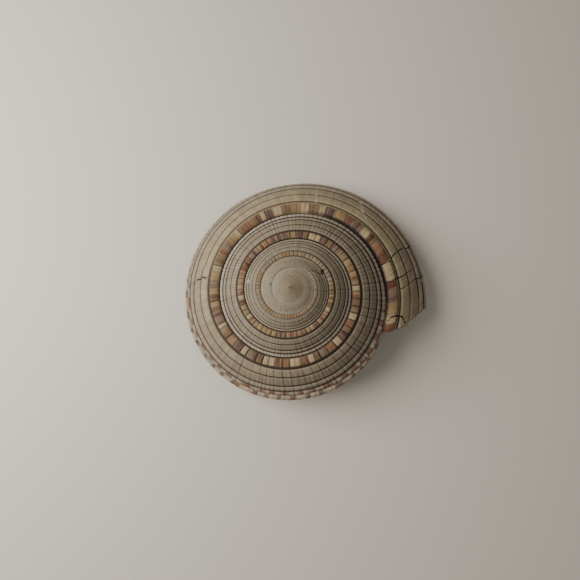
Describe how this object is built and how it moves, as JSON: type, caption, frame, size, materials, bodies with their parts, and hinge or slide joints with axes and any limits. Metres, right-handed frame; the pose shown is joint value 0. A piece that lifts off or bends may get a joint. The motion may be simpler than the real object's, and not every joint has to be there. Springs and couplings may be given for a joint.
{
  "type": "sundial shell",
  "caption": "Hollow sundial sea shell: a low right-handed spiral cone with corded whorls, an open beaded umbilicus and a thin-lipped mouth, resting apex up.",
  "frame": {"origin": "centre of the bounding box on the plane the shell rests on", "axes": "+X to the right of the picture, towards the mouth; +Y up in the picture; +Z up, out of the resting plane"},
  "size_m": [0.0512, 0.0456, 0.0202],
  "materials": {
    "shell": "satin"
  },
  "bodies": {
    "root": {"shell": "shell"}
  },
  "joints": []
}
